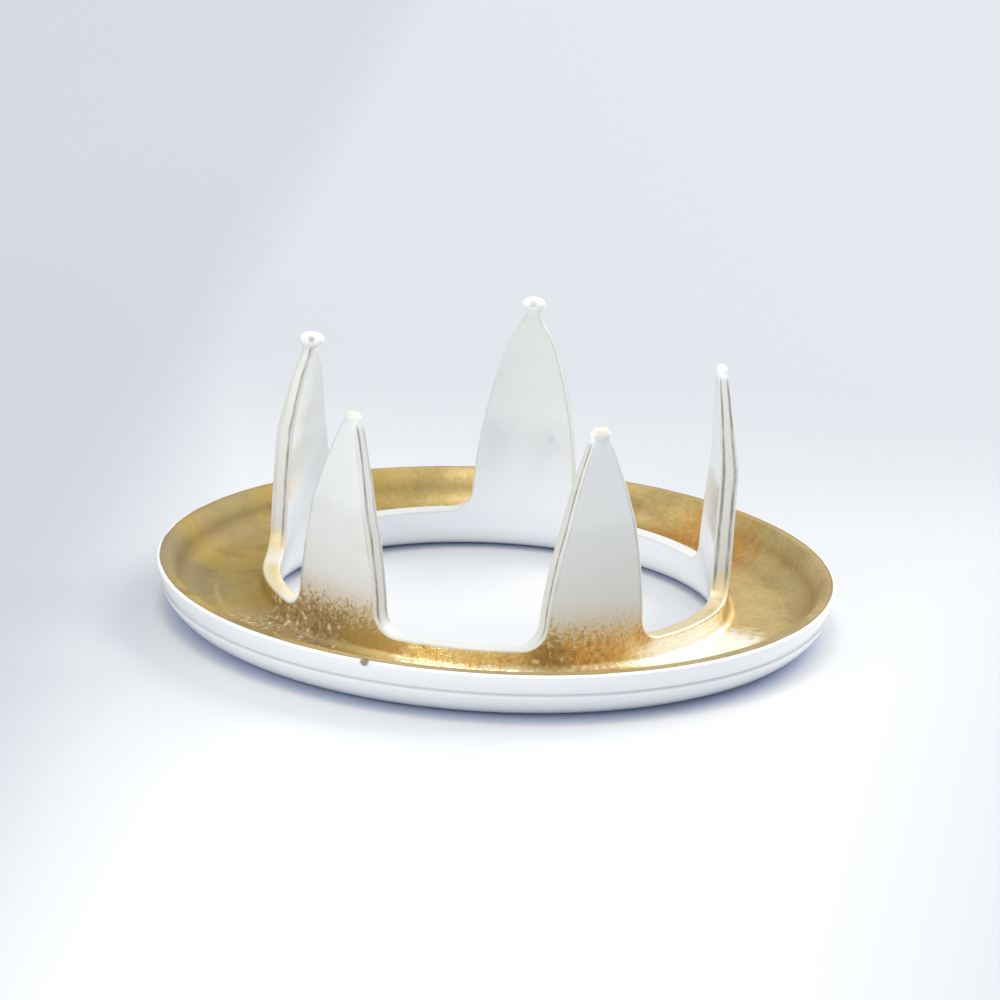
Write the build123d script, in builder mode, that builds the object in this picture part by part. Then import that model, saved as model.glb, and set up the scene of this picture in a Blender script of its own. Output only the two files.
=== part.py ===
from build123d import *
from math import acos, degrees, sin
import os

os.makedirs("parts", exist_ok=True)

# Open prong ring of a snap fastener, pressed and pierced from one disc of thin sheet.
# It rests on its domed face, with the five prongs standing up along +Z.
# All lengths are millimetres; radii are from the ring's axis, heights from the resting plane.

# Sheet and overall size
sheet = 0.25
outer_radius = 4.75
rim_height = 0.72

# Collar: the short neck round the bore that the prongs grow from
bore_radius = 3.02
collar_height = 0.58
throat_bend = 0.32
neck_bend = 0.12

# Face: nearly flat, dished by a hair towards the bore
crest_radius = 4.08
face_dish = 0.01

# Dome, the coined crease above it, and the flared skirt up to the rim
dome_bend = 0.66
crease_height = 0.39
crease_depth = 0.03
crease_width = 0.06
lip = 0.18
lip_bevel = 0.035

# Prongs: length of each above the collar, and its turn about the axis from +Y in degrees
back_prong = 3.24
left_prong = 3.05
front_left_prong = 2.96
front_right_prong = 3.05
right_prong = 3.15
prongs = (
    (0, back_prong),
    (72, left_prong),
    (144, front_left_prong),
    (212, front_right_prong),
    (283, right_prong),
)
root_width = 1.50
middle_width = 1.00
middle_drop = 1.27
tip_width = 0.18
tip_rise = 0.05
root_fillet = 0.32
root_sink = 0.01
bow_height = 2.30
prong_bow = 0.03
top_lean = 0.11
top_sheet = 0.12
foot_depth = 0.06
foot_spare = 0.05
wall_spare = 0.20

# Section: where the throat and the dome turn
throat_radius = bore_radius + throat_bend
throat_height = throat_bend + face_dish
collar_outer = bore_radius + sheet
neck_radius = collar_outer + neck_bend
neck_height = sheet + face_dish + neck_bend
dome_sweep = degrees(acos((dome_bend - crease_height) / dome_bend))
crease_radius = crest_radius + dome_bend * sin(acos((dome_bend - crease_height) / dome_bend))

# Prong outlines, each drawn face on with the rounded corners of its root and run outwards.
# The strip at the foot is sunk in the collar, so the corners run out at the collar's edge.
strip_height = collar_height - root_sink
foot_height = strip_height - foot_depth
foot_width = root_width + 2 * root_fillet + 2 * foot_spare
wall_top = collar_height + max(length for turn, length in prongs) + wall_spare
with BuildPart() as leaves:
    for turn, length in prongs:
        along = Vector(1, 0, 0).rotate(Axis.Z, turn)
        inwards = Vector(0, -1, 0).rotate(Axis.Z, turn)
        tip_height = collar_height + length
        middle_height = tip_height - middle_drop
        with BuildSketch(Plane(origin=(0, 0, 0), x_dir=along, z_dir=inwards)) as outline:
            with BuildLine():
                Line((-root_width / 2, strip_height), (root_width / 2, strip_height))
                ThreePointArc(
                    (root_width / 2, strip_height),
                    (middle_width / 2, middle_height),
                    (tip_width / 2, tip_height - tip_rise),
                )
                ThreePointArc(
                    (tip_width / 2, tip_height - tip_rise),
                    (0, tip_height),
                    (-tip_width / 2, tip_height - tip_rise),
                )
                ThreePointArc(
                    (-tip_width / 2, tip_height - tip_rise),
                    (-middle_width / 2, middle_height),
                    (-root_width / 2, strip_height),
                )
            make_face()
            with Locations((0, foot_height)):
                Rectangle(foot_width, foot_depth, align=(Align.CENTER, Align.MIN))
            strip_corners = outline.vertices().group_by(Axis.Y)[1]
            fillet(strip_corners.sort_by(Axis.X)[1:-1], radius=root_fillet)
        extrude(amount=-outer_radius)

with BuildPart() as prong_ring:
    # Wall the prongs are cut from: bowed out a hair, then leaning in and thinning to the tips
    with BuildSketch(Plane.XZ):
        with BuildLine():
            inner = Line((bore_radius, foot_height), (bore_radius, collar_height))
            outer = Line((collar_outer, foot_height), (collar_outer, collar_height))
            inner_bow = Line(inner @ 1, (bore_radius + prong_bow, bow_height))
            outer_bow = Line(outer @ 1, (collar_outer + prong_bow, bow_height))
            inner_lean = Line(inner_bow @ 1, (bore_radius - top_lean, wall_top))
            outer_lean = Line(outer_bow @ 1, (bore_radius - top_lean + top_sheet, wall_top))
            Line(inner @ 0, outer @ 0)
            Line(inner_lean @ 1, outer_lean @ 1)
        make_face()
    revolve(axis=Axis.Z)
    add(leaves.part, mode=Mode.INTERSECT)

    # Pressed section of the ring, painted side first and then back along the bare side
    with BuildSketch(Plane.XZ):
        with BuildLine():
            Line((bore_radius, collar_height), (bore_radius, throat_height))
            throat = CenterArc((throat_radius, throat_height), throat_bend, 180, 90)
            Line(throat @ 1, (crest_radius, 0))
            dome = CenterArc((crest_radius, dome_bend), dome_bend, -90, dome_sweep)
            crease = Polyline(
                dome @ 1,
                (crease_radius - crease_depth, crease_height + crease_width / 2),
                (crease_radius, crease_height + crease_width),
            )
            skirt = Line(crease @ 1, (outer_radius, rim_height - lip_bevel))
            bevel = Line(skirt @ 1, (outer_radius - lip_bevel, rim_height))
            edge = Line(bevel @ 1, (outer_radius - lip, rim_height))
            hollow = CenterArc((crest_radius, dome_bend), dome_bend - sheet, -90, dome_sweep)
            Line(edge @ 1, hollow @ 1)
            neck = CenterArc((neck_radius, neck_height), neck_bend, 180, 90)
            Line(hollow @ 0, neck @ 1)
            Line(neck @ 0, (collar_outer, collar_height))
            Line((collar_outer, collar_height), (bore_radius, collar_height))
        make_face()
    revolve(axis=Axis.Z)

prong_ring.part.label = "prong_ring"
export_step(prong_ring.part, "parts/prong_ring.step")
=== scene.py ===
from math import acos, asin, atan2, cos, degrees, exp, hypot, pi, radians, sin, sqrt

import bmesh
import bpy
from mathutils import Matrix, Vector


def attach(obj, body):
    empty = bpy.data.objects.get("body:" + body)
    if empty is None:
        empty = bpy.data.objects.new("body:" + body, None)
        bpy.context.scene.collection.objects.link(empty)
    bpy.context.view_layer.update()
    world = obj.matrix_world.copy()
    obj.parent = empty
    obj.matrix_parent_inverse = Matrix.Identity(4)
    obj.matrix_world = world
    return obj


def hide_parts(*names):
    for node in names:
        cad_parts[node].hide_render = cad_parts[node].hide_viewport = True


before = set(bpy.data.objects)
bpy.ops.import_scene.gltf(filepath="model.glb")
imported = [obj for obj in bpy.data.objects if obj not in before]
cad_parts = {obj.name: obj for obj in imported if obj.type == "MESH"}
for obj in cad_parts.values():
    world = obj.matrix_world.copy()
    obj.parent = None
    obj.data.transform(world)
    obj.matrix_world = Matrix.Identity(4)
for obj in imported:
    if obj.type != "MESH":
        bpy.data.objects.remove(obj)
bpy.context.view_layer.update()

mm = 0.001


# Node helpers: a value is a socket to link or a plain setting

def setInput(tree, socket, value):
    if isinstance(value, bpy.types.NodeSocket):
        tree.links.new(value, socket)
    else:
        socket.default_value = value


def addNode(tree, kind, inputs=None, **settings):
    node = tree.nodes.new(kind)
    for name, value in settings.items():
        setattr(node, name, value)
    for name, value in (inputs or {}).items():
        setInput(tree, node.inputs[name], value)
    return node


def maths(tree, operation, first, second=0.0):
    return addNode(tree, "ShaderNodeMath", {0: first, 1: second}, operation=operation).outputs[0]


def times(tree, first, second):
    return maths(tree, "MULTIPLY", first, second)


def either(tree, first, second):
    return maths(tree, "MAXIMUM", first, second)


def without(tree, value):
    # what the value leaves of 1
    return maths(tree, "SUBTRACT", 1.0, value)


def vectorMaths(tree, operation, first, second):
    return addNode(tree, "ShaderNodeVectorMath", {0: first, 1: second}, operation=operation)


def fade(tree, value, low, high):
    # 0 at low and 1 at high, smooth between
    wanted = {"Value": value, "From Min": low, "From Max": high}
    node = addNode(tree, "ShaderNodeMapRange", wanted, interpolation_type="SMOOTHSTEP")
    return node.outputs["Result"]


def spread(tree, value, low, high, toLow, toHigh):
    # toLow at low and toHigh at high, straight between
    ends = {"From Min": low, "From Max": high, "To Min": toLow, "To Max": toHigh}
    return addNode(tree, "ShaderNodeMapRange", {"Value": value, **ends}).outputs["Result"]


def band(tree, value, middle, half):
    # 1 at the middle, falling to 0 at half away on either side
    away = maths(tree, "ABSOLUTE", maths(tree, "SUBTRACT", value, middle))
    return fade(tree, away, half, half * 0.25)


def noise(tree, place, scale, detail=2.0, roughness=0.5):
    wanted = {"Vector": place, "Scale": scale, "Detail": detail, "Roughness": roughness}
    return addNode(tree, "ShaderNodeTexNoise", wanted).outputs["Fac"]


def wander(tree, place, scale, reach, detail=2.0, roughness=0.5):
    # noise about zero, reach wide
    centred = maths(tree, "SUBTRACT", noise(tree, place, scale, detail, roughness), 0.5)
    return times(tree, centred, reach)


def readLayer(tree, name):
    # a value that the mesh carries at each vertex
    return addNode(tree, "ShaderNodeAttribute", attribute_name=name).outputs["Fac"]


def mixColour(tree, factor, first, second):
    node = addNode(tree, "ShaderNodeMix", {0: factor, 6: first, 7: second}, data_type="RGBA")
    return node.outputs[2]


def mixValue(tree, factor, first, second):
    node = addNode(tree, "ShaderNodeMix", {0: factor, 2: first, 3: second}, data_type="FLOAT")
    return node.outputs[0]


def startGroup(name, sockets, results):
    group = bpy.data.node_groups.new(name, "ShaderNodeTree")
    face = group.interface
    for label, kind, value in sockets:
        socket = face.new_socket(name=label, in_out="INPUT", socket_type="NodeSocket" + kind)
        socket.default_value = value
    for label, kind in results:
        face.new_socket(name=label, in_out="OUTPUT", socket_type="NodeSocket" + kind)
    inlet = group.nodes.new("NodeGroupInput")
    outlet = group.nodes.new("NodeGroupOutput")
    return group, inlet.outputs, outlet.inputs


def placeGroup(tree, group, inputs=None):
    return addNode(tree, "ShaderNodeGroup", inputs, node_tree=group).outputs


# Shared effects

def makePlaceGroup():
    # place in millimetres, distance from the ring's axis, and height
    results = [("Place", "Vector"), ("Radius", "Float"), ("Height", "Float")]
    group, _, result = startGroup("ringPlace", [], results)
    coords = addNode(group, "ShaderNodeTexCoord").outputs["Object"]
    place = vectorMaths(group, "MULTIPLY", coords, [1 / mm] * 3).outputs[0]
    flat = vectorMaths(group, "MULTIPLY", place, (1, 1, 0)).outputs[0]
    radius = vectorMaths(group, "LENGTH", flat, (0, 0, 0)).outputs["Value"]
    height = addNode(group, "ShaderNodeSeparateXYZ", {0: place}).outputs["Z"]
    group.links.new(place, result["Place"])
    group.links.new(radius, result["Radius"])
    group.links.new(height, result["Height"])
    return group


def makeSpatterGroup():
    # fine dots of sprayed paint: they close up as Cover goes from 0 to 1
    sockets = [("Place", "Vector", (0, 0, 0)), ("Cover", "Float", 0.5), ("Grain", "Float", 14.0)]
    group, given, result = startGroup("paintSpatter", sockets, [("Mask", "Float")])
    softness = 0.14
    dots = noise(group, given["Place"], given["Grain"], 3.0, 0.6)
    level = spread(group, given["Cover"], 0.0, 1.0, 0.80, 0.10)
    mask = fade(group, maths(group, "SUBTRACT", dots, level), -softness, softness)
    group.links.new(mask, result["Mask"])
    return group


def makeSpotGroup():
    # a ragged spot round a point
    sockets = [("Place", "Vector", (0, 0, 0)), ("Centre", "Vector", (0, 0, 0))]
    sockets += [("Size", "Float", 0.3), ("Ragged", "Float", 0.6)]
    group, given, result = startGroup("raggedSpot", sockets, [("Mask", "Float")])
    rim, core, edgeScale = 1.0, 0.4, 7.0
    away = vectorMaths(group, "DISTANCE", given["Place"], given["Centre"]).outputs["Value"]
    share = maths(group, "DIVIDE", away, given["Size"])
    wobble = wander(group, given["Place"], edgeScale, given["Ragged"], 3.0, 0.6)
    reach = maths(group, "ADD", share, wobble)
    group.links.new(fade(group, reach, rim, core), result["Mask"])
    return group


ringPlace = makePlaceGroup()
paintSpatter = makeSpatterGroup()
raggedSpot = makeSpotGroup()


def ringPoint(turn, radius, height):
    # a point of the ring in millimetres, by its turn from +Y in degrees
    return (-radius * sin(radians(turn)), radius * cos(radians(turn)), height)


def newMaterial(name):
    material = bpy.data.materials.new(name)
    material.use_nodes = True
    tree = material.node_tree
    tree.nodes.clear()
    surface = addNode(tree, "ShaderNodeBsdfPrincipled")
    addNode(tree, "ShaderNodeOutputMaterial", {"Surface": surface.outputs[0]})
    return material, tree, surface.inputs


def spotMask(tree, place, row):
    wanted = {"Place": place, "Centre": row["centre"], "Size": row["size"], "Ragged": row["ragged"]}
    return times(tree, placeGroup(tree, raggedSpot, wanted)["Mask"], row["strength"])


def spotMasks(tree, place, rows):
    # the strongest of several ragged spots
    mask = spotMask(tree, place, rows[0])
    for row in rows[1:]:
        mask = either(tree, mask, spotMask(tree, place, row))
    return mask


def addSpots(tree, place, colour, rows):
    # ragged spots of other colours, one after the other
    for row in rows:
        colour = mixColour(tree, spotMask(tree, place, row), colour, row["colour"])
    return colour


def addBump(tree, height, strength):
    depth = 0.02
    wanted = {"Strength": strength, "Distance": depth * mm, "Height": height}
    return addNode(tree, "ShaderNodeBump", wanted).outputs[0]


# White enamel on the domed side, in the bore and on the inner faces of the prongs

# spots that two materials show: a grey spot on top of two beads, and a chip that runs over the lip
beadSpots = (
    {"centre": ringPoint(0, 2.89, 3.745), "size": 0.075, "ragged": 0.5, "strength": 0.50,
     "colour": (0.50, 0.50, 0.49, 1)},
    {"centre": ringPoint(74.5, 2.974, 3.562), "size": 0.065, "ragged": 0.5, "strength": 0.75,
     "colour": (0.34, 0.34, 0.32, 1)},
)
lipChips = (
    {"centre": ringPoint(165.4, 4.74, 0.70), "size": 0.085, "ragged": 1.2, "strength": 0.9,
     "colour": (0.20, 0.13, 0.07, 1)},
)

enamelLook = {
    "white": (0.90, 0.905, 0.91, 1),
    "bore": (0.83, 0.84, 0.86, 1),
    "prong": (0.765, 0.77, 0.765, 1),
    "thin": (0.685, 0.695, 0.695, 1),
    "skirt": (0.82, 0.825, 0.835, 1),
    # painted shade in the skirt's crease
    "creaseShade": (0.36, 0.36, 0.37, 1),
    "roughness": 0.22,
    "coat": 0.5,
    "coatRoughness": 0.08,
    "peelScale": 4.0,
    "peelStrength": 0.10,
    "patchScale": 0.9,
    "patchEdge": (0.42, 0.68),
    "boreTop": (0.6, 1.7),
    "skirtFrom": (4.1, 4.5),
    "creaseFrom": (4.6, 4.62),
    "creaseHeight": 0.42,
    "creaseHalf": 0.03,
    "creaseStrength": 0.42,
    "spots": beadSpots + lipChips + (
        {"centre": ringPoint(353.4, 3.04, 1.72), "size": 0.07, "ragged": 1.0, "strength": 0.45,
         "colour": (0.50, 0.55, 0.61, 1)},
    ),
}


def makeEnamel():
    look = enamelLook
    material, tree, surface = newMaterial("glossEnamel")
    place = placeGroup(tree, ringPlace)
    here, radius, height = place["Place"], place["Radius"], place["Height"]
    # painted shade: one enamel, greyest on the prongs' inner faces, bluish low in the bore, lighter
    # on the skirt
    patches = fade(tree, noise(tree, here, look["patchScale"]), *look["patchEdge"])
    colour = mixColour(tree, patches, look["prong"], look["thin"])
    colour = mixColour(tree, fade(tree, height, *look["boreTop"]), look["bore"], colour)
    colour = mixColour(tree, readLayer(tree, "bead"), colour, look["white"])
    colour = mixColour(tree, fade(tree, radius, *look["skirtFrom"]), colour, look["skirt"])
    # painted shade: a darker line along the skirt's crease
    crease = band(tree, height, look["creaseHeight"], look["creaseHalf"])
    crease = times(tree, crease, fade(tree, radius, *look["creaseFrom"]))
    crease = times(tree, crease, look["creaseStrength"])
    colour = mixColour(tree, crease, colour, look["creaseShade"])
    colour = addSpots(tree, here, colour, look["spots"])
    setInput(tree, surface["Base Color"], colour)
    peel = noise(tree, here, look["peelScale"])
    setInput(tree, surface["Normal"], addBump(tree, peel, look["peelStrength"]))
    surface["Roughness"].default_value = look["roughness"]
    surface["Coat Weight"].default_value = look["coat"]
    surface["Coat Roughness"].default_value = look["coatRoughness"]
    return material


# Bare brass in the hollow, dusted by overspray that thickens up the outer faces of the prongs

brassLook = {
    "light": (0.64, 0.475, 0.20, 1),
    "dark": (0.50, 0.37, 0.155, 1),
    "deep": (0.32, 0.22, 0.09, 1),
    "fleck": (0.86, 0.76, 0.54, 1),
    # painted highlights: gold and orange in front, and a near-white glare
    "bright": (0.97, 0.83, 0.52, 1),
    "orange": (0.86, 0.50, 0.15, 1),
    "paintedGlare": (1.0, 0.96, 0.82, 1),
    # painted shade: darker, hazier brass on the left
    "dullAndShaded": (0.42, 0.29, 0.075, 1),
    "dullDark": (0.29, 0.20, 0.05, 1),
    "hazeAndShade": (0.32, 0.25, 0.125, 1),
    "spray": (0.775, 0.78, 0.77, 1),
    "dot": (0.86, 0.78, 0.62, 1),
    "pit": (0.23, 0.145, 0.065, 1),
    "thinAndShadedSpray": (0.685, 0.69, 0.68, 1),
    "warmSpray": (0.65, 0.57, 0.43, 1),
    "edgeLine": (0.26, 0.23, 0.19, 1),
    "lipLine": (0.31, 0.21, 0.11, 1),
    "brightRoughness": 0.26,
    "dullRoughness": 0.62,
    "sprayRoughness": 0.45,
    "dullMetal": 0.30,
    "dullGloss": 0.15,
    "paleMetal": 0.25,
    "grainBump": (0.06, 0.85),

    # scales of the noises
    "cloud": 1.1,
    "grain": 15.0,
    "bloom": 3.5,
    "matt": 2.2,
    "sprayCloud": 3.0,
    "spatterGrain": 23.0,
    "dotGrain": 12.0,
    "lipWave": 2.0,

    # where each effect fades in: heights, radii and distances in millimetres, or levels of noise
    "mottle": (0.36, 0.66),
    "shineRim": (4.15, 3.85),
    "bloomEdge": (0.55, 0.66),
    "paleTop": (0.66, 0.56),
    "dullSide": (-1.0, -2.8),
    "dullTop": (1.2, 0.8),
    "mattEdge": (0.45, 0.70),
    "prongRadius": (3.55, 3.45),
    "pitEdge": (0.47, 0.37),
    "shadedSide": (-0.5, 0.5),
    "clearHeight": (0.70, 1.30),
    "cornerSide": (0.93, 0.99),
    "cornerHeight": (0.7, 1.0),

    # two levels of what is read, and the shares that they give
    "arcShare": (0.45, 0.65, 0.0, 0.14),
    "deepShare": (0.50, 0.74, 0.0, 0.45),
    "fleckShare": (0.34, 0.24, 0.0, 0.8),
    "dullShare": (0.0, 1.0, 1.0, 0.3),
    "sprayShare": (0.36, 1.36, 0.0, 1.0),
    "dotShare": (0.61, 0.69, 0.0, 0.75),
    "thinShare": (0.45, 0.75, 0.0, 0.35),
    "cornerShare": (0.4, 0.6, 0.1, 0.6),
    "brassRoughness": (0.3, 0.7, 0.48, 0.60),

    # one bright arc in the hollow, and the enamel's edge on the lip
    "arcRadius": 3.90,
    "arcHalf": 0.06,
    "paintEdge": 4.715,
    "paintSoft": 0.012,
    "paintWander": 0.03,
    "lipLineIn": 0.02,
    "lipLineHalf": 0.022,
    "lipLineStrength": 0.65,

    "stains": (
        {"centre": ringPoint(134, 3.35, 0.40), "size": 0.95, "ragged": 1.6, "strength": 0.70,
         "colour": (0.50, 0.36, 0.20, 1)},
        {"centre": ringPoint(120, 3.75, 0.30), "size": 0.60, "ragged": 1.6, "strength": 0.50,
         "colour": (0.48, 0.35, 0.19, 1)},
        {"centre": ringPoint(200, 3.32, 0.45), "size": 0.45, "ragged": 1.2, "strength": 0.45,
         "colour": (0.36, 0.22, 0.08, 1)},
    ),
    "rust": (
        {"centre": ringPoint(226, 3.27, 0.70), "size": 0.30, "ragged": 0.9, "strength": 0.80,
         "colour": (0.62, 0.28, 0.06, 1)},
        {"centre": ringPoint(212, 3.28, 0.62), "size": 0.75, "ragged": 1.2, "strength": 0.60,
         "colour": (0.72, 0.42, 0.13, 1)},
        {"centre": ringPoint(320, 3.75, 0.26), "size": 1.35, "ragged": 1.0, "strength": 0.85,
         "colour": (0.62, 0.32, 0.07, 1)},
        {"centre": ringPoint(274, 4.60, 0.50), "size": 1.00, "ragged": 1.2, "strength": 0.45,
         "colour": (0.50, 0.32, 0.12, 1)},
        {"centre": ringPoint(163, 3.27, 1.55), "size": 0.13, "ragged": 1.0, "strength": 0.80,
         "colour": (0.80, 0.52, 0.16, 1)},
    ),
    # painted highlights
    "brights": (
        {"centre": ringPoint(248, 3.50, 0.30), "size": 1.15, "ragged": 0.8, "strength": 1.0},
        {"centre": ringPoint(180, 3.35, 0.40), "size": 1.25, "ragged": 1.0, "strength": 0.95},
        {"centre": ringPoint(215, 3.40, 0.35), "size": 0.95, "ragged": 1.0, "strength": 0.85},
        {"centre": ringPoint(232, 3.35, 0.40), "size": 1.20, "ragged": 0.8, "strength": 1.0},
        {"centre": ringPoint(30, 3.60, 0.26), "size": 0.70, "ragged": 1.2, "strength": 0.40},
    ),
    # painted glare at the front right
    "paintedGlareSpots": (
        {"centre": ringPoint(239, 3.45, 0.36), "size": 1.20, "ragged": 0.8, "strength": 1.0},
        {"centre": ringPoint(252, 3.45, 0.38), "size": 1.10, "ragged": 0.9, "strength": 0.9},
    ),
    "dots": (
        {"centre": ringPoint(133, 3.40, 0.45), "size": 1.25, "ragged": 0.9, "strength": 1.0},
        {"centre": ringPoint(204, 3.30, 0.45), "size": 0.80, "ragged": 0.9, "strength": 0.8},
        {"centre": ringPoint(318, 3.60, 0.26), "size": 0.95, "ragged": 0.9, "strength": 0.8},
        {"centre": ringPoint(26, 3.50, 0.26), "size": 0.40, "ragged": 0.9, "strength": 0.9},
    ),
    "pits": (
        {"centre": ringPoint(130, 3.40, 0.40), "size": 1.15, "ragged": 1.2, "strength": 0.65},
        {"centre": ringPoint(208, 3.30, 0.50), "size": 0.60, "ragged": 1.2, "strength": 0.35},
    ),
    # painted shade over the hazy left rim
    "hazeAndShadeSpots": (
        {"centre": ringPoint(98, 4.80, 0.60), "size": 1.60, "ragged": 1.0, "strength": 0.90},
        {"centre": ringPoint(66, 4.70, 0.50), "size": 1.20, "ragged": 1.1, "strength": 0.70},
    ),
}


def makeBrass():
    look = brassLook
    material, tree, surface = newMaterial("oversprayedBrass")
    place = placeGroup(tree, ringPlace)
    here, radius, height = place["Place"], place["Radius"], place["Height"]
    x = addNode(tree, "ShaderNodeSeparateXYZ", {0: here}).outputs["X"]
    cloud = noise(tree, here, look["cloud"], 4.0, 0.6)
    grain = noise(tree, here, look["grain"], 3.0, 0.65)

    # bare metal: mottled, with painted highlights in front
    brass = mixColour(tree, fade(tree, cloud, *look["mottle"]), look["light"], look["dark"])
    paintedShine = spotMasks(tree, here, look["brights"])
    paintedShine = times(tree, paintedShine, fade(tree, radius, *look["shineRim"]))
    bloom = fade(tree, noise(tree, here, look["bloom"], 3.0, 0.6), *look["bloomEdge"])
    warm = mixColour(tree, bloom, look["bright"], look["orange"])
    # painted glare: near-white and less metallic at the front right, low down
    paintedGlare = times(tree, spotMasks(tree, here, look["paintedGlareSpots"]), paintedShine)
    paintedGlare = times(tree, paintedGlare, fade(tree, height, *look["paleTop"]))
    warm = mixColour(tree, paintedGlare, warm, look["paintedGlare"])
    brass = mixColour(tree, paintedShine, brass, warm)
    brass = addSpots(tree, here, brass, look["rust"])

    # matt and hazed on the left, and darker there as painted shade; stained, with a fine grain all
    # over
    dullAndShaded = times(tree, fade(tree, x, *look["dullSide"]), fade(tree, height, *look["dullTop"]))
    matt = fade(tree, noise(tree, here, look["matt"], 4.0, 0.6), *look["mattEdge"])
    brass = mixColour(tree, dullAndShaded, brass, mixColour(tree, matt, look["dullAndShaded"], look["dullDark"]))
    brass = mixColour(tree, spotMasks(tree, here, look["hazeAndShadeSpots"]), brass, look["hazeAndShade"])
    brass = addSpots(tree, here, brass, look["stains"])
    arc = band(tree, radius, look["arcRadius"], look["arcHalf"])
    arc = times(tree, arc, spread(tree, cloud, *look["arcShare"]))
    brass = mixColour(tree, arc, brass, look["fleck"])
    deeps = times(tree, spread(tree, grain, *look["deepShare"]), without(tree, paintedGlare))
    brass = mixColour(tree, deeps, brass, look["deep"])
    flecks = spread(tree, grain, *look["fleckShare"])
    flecks = times(tree, flecks, spread(tree, dullAndShaded, *look["dullShare"]))
    brass = mixColour(tree, flecks, brass, look["fleck"])

    # sprayed paint: pits and dots at the foot of the prongs, closing up higher
    onProng = fade(tree, radius, *look["prongRadius"])
    cover = times(tree, spread(tree, height, *look["sprayShare"]), onProng)
    wanted = {"Place": here, "Cover": cover, "Grain": look["spatterGrain"]}
    dust = placeGroup(tree, paintSpatter, wanted)["Mask"]
    dotted = noise(tree, here, look["dotGrain"], 1.0)
    pits = times(tree, fade(tree, dotted, *look["pitEdge"]), spotMasks(tree, here, look["pits"]))
    brass = mixColour(tree, pits, brass, look["pit"])
    dots = spread(tree, dotted, *look["dotShare"])
    dots = times(tree, dots, spotMasks(tree, here, look["dots"]))
    brass = mixColour(tree, dots, brass, look["dot"])
    # painted shade: the spray greyer on the right-hand prongs, and thinner in random patches
    clear = mixColour(tree, fade(tree, x, *look["shadedSide"]), look["spray"], look["thinAndShadedSpray"])
    thin = spread(tree, noise(tree, here, look["sprayCloud"], 4.0, 0.6), *look["thinShare"])
    clear = mixColour(tree, thin, clear, look["thinAndShadedSpray"])
    risen = fade(tree, height, *look["clearHeight"])
    colour = mixColour(tree, dust, brass, mixColour(tree, risen, look["warmSpray"], clear))

    # dark along the prongs' corners, and the enamel's edge on the lip
    side = maths(tree, "ABSOLUTE", readLayer(tree, "side"))
    corner = fade(tree, side, *look["cornerSide"])
    corner = times(tree, corner, spread(tree, cloud, *look["cornerShare"]))
    corner = times(tree, corner, fade(tree, height, *look["cornerHeight"]))
    colour = mixColour(tree, corner, colour, look["edgeLine"])
    drift = wander(tree, here, look["lipWave"], look["paintWander"])
    reach = maths(tree, "ADD", radius, drift)
    paintEdge, soft = look["paintEdge"], look["paintSoft"]
    lipPaint = fade(tree, reach, paintEdge - soft, paintEdge + soft)
    lipLine = band(tree, reach, paintEdge - look["lipLineIn"], look["lipLineHalf"])
    lipLine = times(tree, lipLine, look["lipLineStrength"])
    colour = mixColour(tree, lipLine, colour, look["lipLine"])
    colour = mixColour(tree, lipPaint, colour, enamelLook["white"])
    colour = addSpots(tree, here, colour, lipChips)
    setInput(tree, surface["Base Color"], colour)

    # paint isn't metal, and the matt left and the painted glare mirror less
    painted = either(tree, either(tree, dust, dots), lipPaint)
    metal = mixValue(tree, dullAndShaded, 1.0, look["dullMetal"])
    metal = mixValue(tree, paintedGlare, metal, look["paleMetal"])
    setInput(tree, surface["Metallic"], times(tree, metal, without(tree, painted)))
    rough = spread(tree, cloud, *look["brassRoughness"])
    rough = mixValue(tree, paintedShine, rough, look["brightRoughness"])
    rough = mixValue(tree, dullAndShaded, rough, look["dullRoughness"])
    setInput(tree, surface["Roughness"], mixValue(tree, painted, rough, look["sprayRoughness"]))
    plainGloss = 0.5
    gloss = mixValue(tree, dullAndShaded, plainGloss, look["dullGloss"])
    setInput(tree, surface["Specular IOR Level"], gloss)
    low, high = look["grainBump"]
    setInput(tree, surface["Normal"], addBump(tree, grain, mixValue(tree, paintedShine, low, high)))
    return material


# Sheared edge of the sheet: cream paint along the cut, with dark lines near both corners

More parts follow.
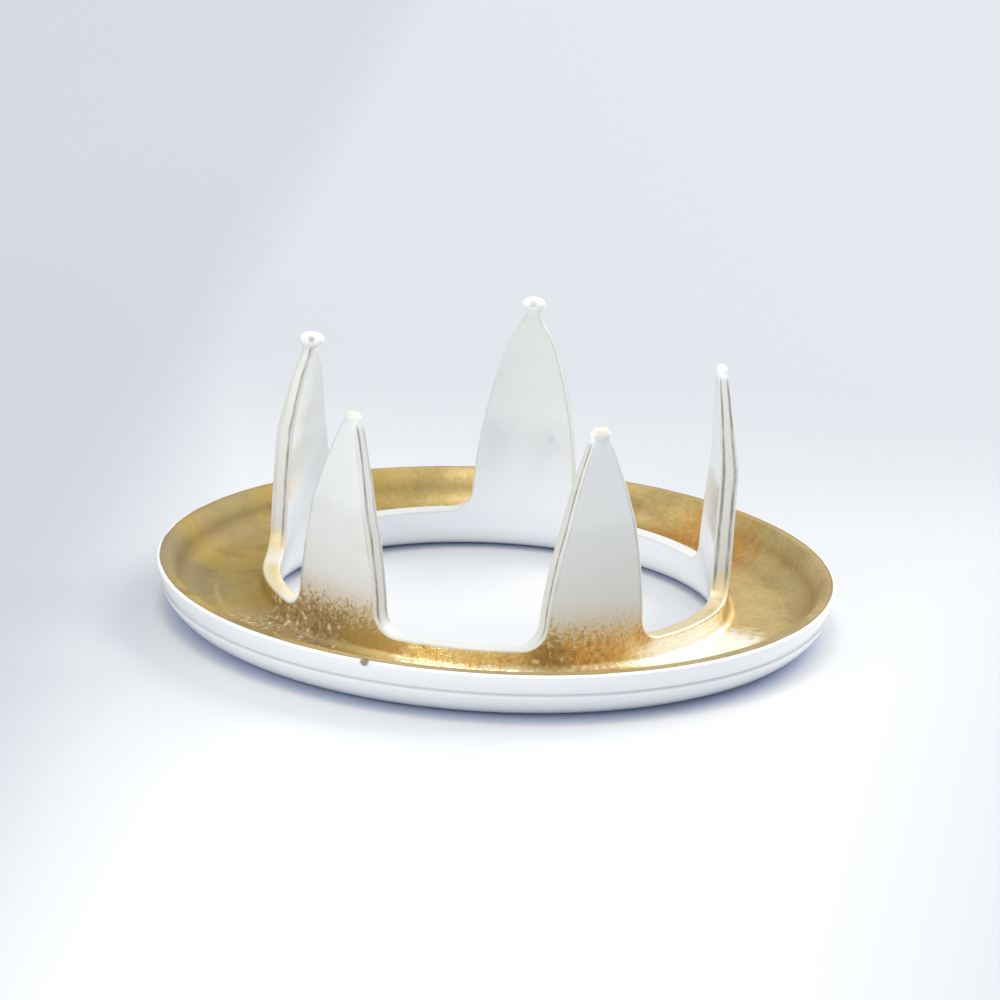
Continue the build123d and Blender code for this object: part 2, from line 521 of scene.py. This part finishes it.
edgeLook = {
    "cream": (0.67, 0.65, 0.58, 1),
    "white": (0.74, 0.74, 0.72, 1),
    "line": (0.20, 0.19, 0.16, 1),
    "gold": (0.98, 0.80, 0.44, 1),
    "roughness": 0.32,
    "lineDepth": (0.20, 0.80),
    "lineHalf": 0.13,
    "lineWave": 0.14,
    "lineHeight": (0.60, 0.90),
    "lineShare": (0.3, 0.6, 0.40, 0.85),
    "goldHeight": (0.95, 0.60),
    "waveScale": 3.5,
    "lineScale": 3.0,
    "creamScale": 2.0,
    "bumpScale": 5.0,
    "bumpStrength": 0.2,
    "golds": (
        {"centre": ringPoint(108, 3.15, 0.58), "size": 1.10, "ragged": 1.0, "strength": 0.80},
        {"centre": ringPoint(243, 3.15, 0.58), "size": 1.60, "ragged": 0.7, "strength": 1.0},
    ),
    "spots": beadSpots + (
        {"centre": ringPoint(144, 3.05, 3.48), "size": 0.16, "ragged": 1.0, "strength": 0.55,
         "colour": (0.74, 0.66, 0.44, 1)},
        {"centre": ringPoint(212, 3.05, 3.56), "size": 0.16, "ragged": 1.2, "strength": 0.55,
         "colour": (0.72, 0.56, 0.28, 1)},
        {"centre": ringPoint(159, 3.20, 2.05), "size": 0.12, "ragged": 1.0, "strength": 0.70,
         "colour": (0.72, 0.50, 0.18, 1)},
        {"centre": ringPoint(160, 3.20, 1.30), "size": 0.10, "ragged": 1.0, "strength": 0.70,
         "colour": (0.72, 0.50, 0.18, 1)},
        {"centre": ringPoint(268, 3.18, 0.74), "size": 0.26, "ragged": 1.6, "strength": 0.70,
         "colour": (0.84, 0.62, 0.26, 1)},
        {"centre": ringPoint(86, 3.18, 0.72), "size": 0.24, "ragged": 1.6, "strength": 0.70,
         "colour": (0.84, 0.64, 0.28, 1)},
    ),
}


def makeEdge():
    look = edgeLook
    material, tree, surface = newMaterial("shearedEdge")
    place = placeGroup(tree, ringPlace)
    here, height = place["Place"], place["Height"]
    bead = readLayer(tree, "bead")
    drift = wander(tree, here, look["waveScale"], look["lineWave"], 3.0, 0.6)
    depth = maths(tree, "ADD", readLayer(tree, "cutDepth"), drift)
    first, second = look["lineDepth"]
    inner = times(tree, band(tree, depth, first, look["lineHalf"]), readLayer(tree, "innerLine"))
    outer = times(tree, band(tree, depth, second, look["lineHalf"]), readLayer(tree, "outerLine"))
    lines = times(tree, either(tree, inner, outer), without(tree, bead))
    lines = times(tree, lines, fade(tree, height, *look["lineHeight"]))
    broken = spread(tree, noise(tree, here, look["lineScale"]), *look["lineShare"])
    lines = times(tree, lines, broken)
    gold = spotMasks(tree, here, look["golds"])
    gold = times(tree, gold, fade(tree, height, *look["goldHeight"]))
    colour = mixColour(tree, noise(tree, here, look["creamScale"]), look["cream"], look["white"])
    colour = mixColour(tree, gold, colour, look["gold"])
    colour = mixColour(tree, bead, colour, enamelLook["white"])
    colour = addSpots(tree, here, colour, look["spots"])
    colour = mixColour(tree, lines, colour, look["line"])
    setInput(tree, surface["Base Color"], colour)
    setInput(tree, surface["Metallic"], gold)
    bumps = noise(tree, here, look["bumpScale"], 3.0)
    setInput(tree, surface["Normal"], addBump(tree, bumps, look["bumpStrength"]))
    surface["Roughness"].default_value = look["roughness"]
    return material


enamel = makeEnamel()
brass = makeBrass()
edge = makeEdge()
print("materials ready")


# Ring section, in millimetres: drawn once, then spun about the axis

ring = {
    "sheet": 0.25,
    "outerRadius": 4.75,
    "rimHeight": 0.72,
    "boreRadius": 3.02,
    "collarHeight": 0.58,
    "throatBend": 0.32,
    "neckBend": 0.12,
    "crestRadius": 4.08,
    "faceDish": 0.01,
    "domeBend": 0.66,
    "creaseHeight": 0.39,
    "creaseDepth": 0.03,
    "creaseWidth": 0.06,
    "lip": 0.18,
    "lipRound": 0.035,
    "edgeRound": 0.032,
    "steps": 360,
    "throatSteps": 14,
    "domeSteps": 18,
    "lipSteps": 4,
    "hollowSteps": 12,
    "neckSteps": 8,
    "edgeSteps": 4,
    "mergeGap": 0.0005,
}


def lineTo(bm, vert, x, z):
    # one straight run of the section
    made = bmesh.ops.extrude_vert_indiv(bm, verts=[vert])["verts"][0]
    made.co = Vector((x, 0, z))
    return made


def bendRound(bm, vert, centreX, centreZ, turn, steps):
    # one round bend of the section, turned by degrees from +X towards +Z
    made = bmesh.ops.spin(
        bm,
        geom=[vert],
        cent=(centreX, 0, centreZ),
        axis=(0, -1, 0),
        angle=radians(turn),
        steps=steps,
    )["geom_last"]
    return [g for g in made if isinstance(g, bmesh.types.BMVert)][0]


def drawSection(bm, across):
    # painted side, bare side, then the sheared edge at the collar's top,
    # where across runs from 1 to 0
    s = ring
    e = s["edgeRound"]
    collarOuter = s["boreRadius"] + s["sheet"]
    sweep = degrees(acos((s["domeBend"] - s["creaseHeight"]) / s["domeBend"]))
    creaseRadius = s["crestRadius"] + s["domeBend"] * sin(radians(sweep))
    throatX = s["boreRadius"] + s["throatBend"]
    throatZ = s["throatBend"] + s["faceDish"]
    v = bm.verts.new((s["boreRadius"], 0, s["collarHeight"] - e))
    v = lineTo(bm, v, s["boreRadius"], throatZ)
    v = bendRound(bm, v, throatX, throatZ, 90, s["throatSteps"])
    v = lineTo(bm, v, (throatX + s["crestRadius"]) / 2, s["faceDish"] / 2)
    v = lineTo(bm, v, s["crestRadius"], 0)
    v = bendRound(bm, v, s["crestRadius"], s["domeBend"], sweep, s["domeSteps"])
    creaseMiddle = s["creaseHeight"] + s["creaseWidth"] / 2
    v = lineTo(bm, v, creaseRadius - s["creaseDepth"], creaseMiddle)
    v = lineTo(bm, v, creaseRadius, s["creaseHeight"] + s["creaseWidth"])
    lipBase = s["rimHeight"] - s["lipRound"]
    v = lineTo(bm, v, s["outerRadius"], lipBase)
    lipStart = len(bm.verts)
    v = bendRound(bm, v, s["outerRadius"] - s["lipRound"], lipBase, 90, s["lipSteps"])
    v = lineTo(bm, v, s["outerRadius"] - s["lip"], s["rimHeight"])
    hollow = s["domeBend"] - s["sheet"]
    hollowX = s["crestRadius"] + hollow * sin(radians(sweep))
    v = lineTo(bm, v, hollowX, s["domeBend"] - hollow * cos(radians(sweep)))
    v = bendRound(bm, v, s["crestRadius"], s["domeBend"], -sweep, s["hollowSteps"])
    neckX = collarOuter + s["neckBend"]
    neckZ = s["sheet"] + s["faceDish"] + s["neckBend"]
    v = lineTo(bm, v, (s["crestRadius"] + neckX) / 2, s["sheet"] + s["faceDish"] / 2)
    v = lineTo(bm, v, neckX, s["sheet"] + s["faceDish"])
    v = bendRound(bm, v, neckX, neckZ, -90, s["neckSteps"])
    edgeStart = len(bm.verts)
    v = lineTo(bm, v, collarOuter, s["collarHeight"] - e)
    v = bendRound(bm, v, collarOuter - e, s["collarHeight"] - e, 90, s["edgeSteps"])
    v = lineTo(bm, v, s["boreRadius"] + s["sheet"] / 2, s["collarHeight"])
    v = lineTo(bm, v, s["boreRadius"] + e, s["collarHeight"])
    v = bendRound(bm, v, s["boreRadius"] + e, s["collarHeight"] - e, 90, s["edgeSteps"])
    bm.verts.ensure_lookup_table()
    last = len(bm.verts) - 1
    for number, vert in enumerate(bm.verts):
        if number >= edgeStart:
            vert[across] = (last - number) / (last - edgeStart)
        else:
            vert[across] = 0.0 if number < lipStart else 1.0


# Prongs, in millimetres, grown up out of the collar's top edge

prong = {
    "rootWidth": 1.50,
    "middleWidth": 1.00,
    "middleDrop": 1.27,
    "tipWidth": 0.18,
    "tipRise": 0.05,
    "rootFillet": 0.32,
    "rootSink": 0.01,
    "bowHeight": 2.30,
    "bow": 0.03,
    "topLean": 0.11,
    "topSheet": 0.12,
    "wallTop": 4.02,
    "halfSpan": 21,        # degrees of collar on each side that a prong grows from
    "filletRows": 9,
    "leafRows": 36,
    "rowCrowding": 1.8,    # above 1 the rows stand closer towards the tip
    "tipGap": 0.002,
    "beadCut": 0.25,       # where the last row meets the bead's dome, as a share of its half height
    "beadBlend": 0.03,
    "beadFrom": -2,        # in half heights from the bead's middle
    "roundFrom": -1.5,
    "roundOver": 1.2,
    "cornerPower": 8,      # how near a corner its rounding draws a vertex down
    "neckDrop": 0.30,      # from the tip down to where a beaded prong is pinched
    "neckReach": 0.21,
}

# Turn from +Y in degrees and length above the collar, then the paint: half width, depth and height
# of the bead on the tip, pinch below it, lobes on top, and dark lines along both corners of the cut
prongs = (
    {"turn": 0, "length": 3.24, "bead": (0.170, 0.120, 0.110), "pinch": 0.080, "lobes": 0.0,
     "lines": (0.0, 0.9)},
    {"turn": 72, "length": 3.05, "bead": (0.150, 0.185, 0.110), "pinch": 0.060, "lobes": 0.0,
     "lines": (1.0, 0.2)},
    {"turn": 144, "length": 2.96, "bead": (0.130, 0.085, 0.090), "pinch": 0.0, "lobes": 0.0,
     "lines": (0.6, 1.0)},
    {"turn": 212, "length": 3.05, "bead": (0.150, 0.100, 0.100), "pinch": 0.0, "lobes": 0.035,
     "lines": (0.1, 1.0)},
    {"turn": 283, "length": 3.15, "bead": (0.105, 0.078, 0.090), "pinch": 0.0, "lobes": 0.0,
     "lines": (1.0, 1.0)},
)


def circleThrough(a, b, c):
    # centre and radius of the circle through three points of the outline
    ab, ac = b - a, c - a
    abSquare, acSquare = ab.length_squared, ac.length_squared
    cross = 2 * (ab.x * ac.y - ab.y * ac.x)
    across = Vector((ac.y * abSquare - ab.y * acSquare, ab.x * acSquare - ac.x * abSquare))
    centre = a + across / cross
    return centre, (a - centre).length


def softMax(first, second, blend):
    # the larger of two lengths, blended where they are nearly the same
    return (first + second + sqrt((first - second) ** 2 + blend * blend)) / 2


def outlineRows(wanted):
    # half of one prong's outline in rows from the collar up to its bead: half width, height,
    # outward direction, the bead's own half depth, and how round the row is
    p = prong
    base = ring["collarHeight"]
    tip = base + wanted["length"]
    beadWidth, beadDepth, beadHeight = wanted["bead"]
    beadMiddle = tip - beadHeight - p["tipGap"]
    leaf, leafRadius = circleThrough(
        Vector((p["rootWidth"] / 2, base - p["rootSink"])),
        Vector((p["middleWidth"] / 2, tip - p["middleDrop"])),
        Vector((p["tipWidth"] / 2, tip - p["tipRise"])),
    )
    reach = leafRadius + p["rootFillet"]
    rise = base + p["rootFillet"] - leaf.y
    fillet = Vector((leaf.x + sqrt(reach * reach - rise * rise), base + p["rootFillet"]))
    rows = []
    straightDown = 1.5 * pi
    filletEnd = atan2(leaf.y - fillet.y, leaf.x - fillet.x) % (2 * pi)
    for step in range(1, p["filletRows"] + 1):
        turn = straightDown + (filletEnd - straightDown) * step / p["filletRows"]
        away = Vector((cos(turn), sin(turn)))
        rows.append((fillet + away * p["rootFillet"], -away))
    leafStart = asin((rows[-1][0].y - leaf.y) / leafRadius)
    leafEnd = asin((beadMiddle + p["beadCut"] * beadHeight - leaf.y) / leafRadius)
    for step in range(1, p["leafRows"] + 1):
        risen = 1 - (1 - step / p["leafRows"]) ** p["rowCrowding"]
        turn = leafStart + (leafEnd - leafStart) * risen
        away = Vector((cos(turn), sin(turn)))
        rows.append((leaf + away * leafRadius, away))
    made = []
    for place, away in rows:
        climb = (place.y - beadMiddle) / beadHeight
        ball = sqrt(max(0.0, 1 - climb * climb))
        neck = exp(-(((tip - p["neckDrop"] - place.y) / p["neckReach"]) ** 2))
        half = place.x - wanted["pinch"] * neck
        roundness = min(1.0, max(0.0, (climb - p["roundFrom"]) / p["roundOver"]))
        onBead = climb > p["beadFrom"]
        made.append({
            "half": softMax(half, beadWidth * ball, p["beadBlend"]) if onBead else half,
            "z": place.y,
            "away": away,
            "ball": beadDepth * ball if onBead else None,
            "round": roundness * roundness * (3 - 2 * roundness),
        })
    return fillet.x, made, beadMiddle, beadHeight


def sheetDepth(step, rounding, thickness):
    # how deep a vertex lies in the sheet, and how far the rounded corner draws it back
    corner = ring["edgeSteps"]
    count = 2 * corner + 2
    near = min(step, count - step)
    if near > corner:
        return thickness / 2, 0.0
    turn = radians(90) * near / corner
    depth = rounding * (1 - cos(turn))
    return (depth if step < count / 2 else thickness - depth), rounding * (1 - sin(turn))


def growProng(bm, layers, wanted):
    p = prong
    s = ring
    across, side, bead, cutDepth, innerLine, outerLine = layers
    count = 2 * s["edgeSteps"] + 2
    slack, mostRounded = 0.001, 0.9
    spanX, rows, beadMiddle, beadHeight = outlineRows(wanted)
    swing = Matrix.Rotation(radians(wanted["turn"]), 3, "Z")
    back = swing.inverted()

    def localTurn(point):
        local = back @ point
        return degrees(atan2(-local.x, local.y))

    # the faces of the collar's top that this prong grows from
    region = [
        f for f in bm.faces
        if f.calc_center_median().z > s["collarHeight"] - s["edgeRound"]
        and hypot(*f.calc_center_median().xy) < s["boreRadius"] + s["sheet"]
        and abs(localTurn(f.calc_center_median())) < p["halfSpan"]
        and all(v.co.z < s["collarHeight"] + slack for v in f.verts)
    ]
    for v in {v for f in region for v in f.verts}:
        share = -localTurn(v.co) / p["halfSpan"]
        radius = hypot(v.co.x, v.co.y)
        x = share * spanX
        v[side] = share
        v.co = swing @ Vector((x, sqrt(radius * radius - x * x), v.co.z))

    # each row is drawn up out of the one below, whose faces would else stay inside the prong
    for row in rows:
        made = bmesh.ops.extrude_face_region(bm, geom=region)["geom"]
        bmesh.ops.delete(bm, geom=region, context="FACES")
        region = [g for g in made if isinstance(g, bmesh.types.BMFace)]
        bowed = min(1.0, (row["z"] - s["collarHeight"]) / (p["bowHeight"] - s["collarHeight"]))
        bent = max(0.0, (row["z"] - p["bowHeight"]) / (p["wallTop"] - p["bowHeight"]))
        thickness = s["sheet"] - (s["sheet"] - p["topSheet"]) * bent
        lean = (p["bow"] + p["topLean"]) * bent
        middle = s["boreRadius"] + p["bow"] * bowed - lean + thickness / 2
        if row["ball"] is not None:
            thickness = softMax(thickness, 2 * row["ball"], p["beadBlend"])
        half = row["half"]
        rounding = min(s["edgeRound"], half * mostRounded)
        last = row is rows[-1]
        for v in [g for g in made if isinstance(g, bmesh.types.BMVert)]:
            share = v[side]
            step = round(v[across] * count)
            depth, drawn = sheetDepth(step, rounding, thickness)
            x = share * (half - drawn * row["away"].x)
            nearCorner = abs(share) ** p["cornerPower"]
            z = row["z"] - drawn * row["away"].y * nearCorner * (1 - row["round"])
            depth -= thickness / 2
            level = 2 * step / count - 1
            discX = share * sqrt(1 - level * level / 2)
            discY = level * sqrt(1 - share * share / 2)
            x += (half * discX - x) * row["round"]
            depth += (thickness / 2 * discY - depth) * row["round"]
            if last:
                inside = 1 - min(1.0, discX * discX + discY * discY)
                cut = p["beadCut"] ** 2
                z = beadMiddle + beadHeight * sqrt(cut + (1 - cut) * inside)
                z += wanted["lobes"] * (0.5 - 0.5 * cos(2 * pi * share)) * inside
            radius = middle + depth
            v.co = swing @ Vector((x, sqrt(radius * radius - x * x), z))
            v[cutDepth] = 0.5 + depth / thickness
            v[bead] = row["round"]
            v[innerLine], v[outerLine] = wanted["lines"]


def buildRing():
    bm = bmesh.new()
    names = ("acrossSheet", "side", "bead", "cutDepth", "innerLine", "outerLine")
    for name in names:
        bm.verts.layers.float.new(name)
    layers = [bm.verts.layers.float[name] for name in names]
    across = layers[0]
    drawSection(bm, across)
    bmesh.ops.spin(
        bm,
        geom=bm.verts[:] + bm.edges[:],
        cent=(0, 0, 0),
        axis=(0, 0, 1),
        angle=radians(360),
        steps=ring["steps"],
        use_merge=True,
    )
    bmesh.ops.remove_doubles(bm, verts=bm.verts, dist=ring["mergeGap"])
    for row in prongs:
        growProng(bm, layers, row)
    bmesh.ops.recalc_face_normals(bm, faces=bm.faces)

    # enamel on the painted side, brass on the bare side and over the lip, the cut edge between
    painted, bare, cut = range(3)
    slack = 0.01
    for f in bm.faces:
        values = [v[across] for v in f.verts]
        middle = f.calc_center_median()
        if max(values) < slack:
            f.material_index = painted
        elif min(values) > 1 - slack or hypot(middle.x, middle.y) > ring["crestRadius"]:
            f.material_index = bare
        else:
            f.material_index = cut
        f.smooth = True
    bmesh.ops.transform(bm, matrix=Matrix.Scale(mm, 4), verts=bm.verts)
    mesh = bpy.data.meshes.new("prongRing")
    bm.to_mesh(mesh)
    bm.free()
    for material in (enamel, brass, edge):
        mesh.materials.append(material)
    piece = bpy.data.objects.new("prongRing", mesh)
    bpy.context.scene.collection.objects.link(piece)
    return piece


ringPiece = buildRing()
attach(ringPiece, "root")
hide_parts("prong_ring")
print("prong ring built:", len(ringPiece.data.vertices), "vertices")


# Studio: floor, soft light and the camera at the photograph's angle

studio = {
    "floor": (0.76, 0.755, 0.755, 1),
    "shade": (0.48, 0.487, 0.515, 1),
    # painted contact shadow on the floor round the ring's foot
    "contactShadowTint": (0.53, 0.58, 0.73, 1),
    "floorSize": 0.8,
    "paperRoughness": 0.5,
    "behind": (-1.5, 13),  # millimetres over which each shade comes in
    "left": (-2.6, -7.2),
    "right": (4, 9),
    "behindStrength": 0.75,
    "rightStrength": 0.55,
    "underInner": (3.02, 3.22),
    "underOuter": (4.75, 4.40),
    "world": (0.85, 0.92, 1.0, 1),
    "worldStrength": 0.865,
    "lightColour": (1.0, 0.965, 0.90),
    "lights": (
        {"name": "overhead", "at": (-0.02, -0.03, 0.25), "size": (0.07, 0.07), "power": 0.15},
        {"name": "window", "at": (0.13, 0.14, 0.14), "size": (0.20, 0.09), "power": 0.33},
        {"name": "leftFill", "at": (-0.16, -0.20, 0.10), "size": (0.16, 0.16), "power": 0.23},
        {"name": "rightFill", "at": (0.22, -0.08, 0.10), "size": (0.14, 0.14), "power": 0.02},
    ),
    "card": (0.34, 0.34, 0.36, 1),
    "cardAt": (-0.0165, 0.005, 0.004),
    "cardSize": (0.022, 0.008),
}

view = {
    "elevation": 17.3,
    "azimuth": 6.4,
    "roll": 3.0,
    "distance": 0.100,
    "lens": 258,
    "sensor": 36,
    "clip": (0.001, 10),
    "aim": (0, 0, 0.00169),
}


def floorColour(tree):
    # in painted shade behind the ring and at both sides, and with a painted contact shadow where
    # the ring stands
    s = studio

    def shadeFrom(axis, ends):
        return fade(tree, place.outputs[axis], ends[0] * mm, ends[1] * mm)

    coords = addNode(tree, "ShaderNodeTexCoord").outputs["Object"]
    place = addNode(tree, "ShaderNodeSeparateXYZ", {0: coords})
    behind = times(tree, shadeFrom("Y", s["behind"]), s["behindStrength"])
    right = times(tree, shadeFrom("X", s["right"]), s["rightStrength"])
    shade = either(tree, either(tree, behind, shadeFrom("X", s["left"])), right)
    colour = mixColour(tree, shade, s["floor"], s["shade"])
    radius = placeGroup(tree, ringPlace)["Radius"]
    contactShadow = times(tree, fade(tree, radius, *s["underInner"]), fade(tree, radius, *s["underOuter"]))
    return mixColour(tree, contactShadow, colour, s["contactShadowTint"])


def addStage(name, size, colour):
    # a plain sheet of the studio, kept out of the object
    bm = bmesh.new()
    bmesh.ops.create_grid(bm, x_segments=4, y_segments=4, size=0.5)
    bmesh.ops.scale(bm, vec=(size[0], size[1], 1), verts=bm.verts)
    mesh = bpy.data.meshes.new(name)
    bm.to_mesh(mesh)
    bm.free()
    material, tree, surface = newMaterial(name + "Paper")
    setInput(tree, surface["Base Color"], colour(tree) if callable(colour) else colour)
    surface["Roughness"].default_value = studio["paperRoughness"]
    mesh.materials.append(material)
    sheet = bpy.data.objects.new(name, mesh)
    bpy.context.scene.collection.objects.link(sheet)
    return sheet


def addCard():
    # a grey card on the left stands for the heap that the bare metal mirrors in the photograph
    card = addStage("leftCard", studio["cardSize"], studio["card"])
    card.location = studio["cardAt"]
    card.rotation_euler = (pi / 2, 0, atan2(card.location.y, card.location.x) - pi / 2)
    card.visible_camera = False
    card.visible_shadow = False


def addLight(name, at, size, power):
    light = bpy.data.lights.new(name, "AREA")
    light.shape = "RECTANGLE"
    light.size, light.size_y = size
    light.energy = power
    light.color = studio["lightColour"]
    lamp = bpy.data.objects.new(name, light)
    lamp.location = at
    lamp.rotation_euler = (-Vector(at)).to_track_quat("-Z", "Y").to_euler()
    bpy.context.scene.collection.objects.link(lamp)


def setWorld():
    world = bpy.data.worlds.new("studioWorld")
    bpy.context.scene.world = world
    world.use_nodes = True
    background = world.node_tree.nodes["Background"].inputs
    background["Color"].default_value = studio["world"]
    background["Strength"].default_value = studio["worldStrength"]


def setCamera():
    lens = bpy.data.cameras.new("photoView")
    lens.lens = view["lens"]
    lens.sensor_width = view["sensor"]
    lens.clip_start, lens.clip_end = view["clip"]
    camera = bpy.data.objects.new("photoView", lens)
    up, side = radians(view["elevation"]), radians(view["azimuth"])
    away = Vector((sin(side) * cos(up), -cos(side) * cos(up), sin(up)))
    camera.location = Vector(view["aim"]) + away * view["distance"]
    level = away.to_track_quat("Z", "Y").to_matrix()
    tilt = Matrix.Rotation(radians(view["roll"]), 3, "Z")
    camera.rotation_euler = (level @ tilt).to_euler()
    bpy.context.scene.collection.objects.link(camera)
    bpy.context.scene.camera = camera


addStage("floor", (studio["floorSize"], studio["floorSize"]), floorColour)
addCard()
for lamp in studio["lights"]:
    addLight(**lamp)
setWorld()
setCamera()
bpy.context.scene.view_settings.view_transform = "Standard"
print("studio ready")
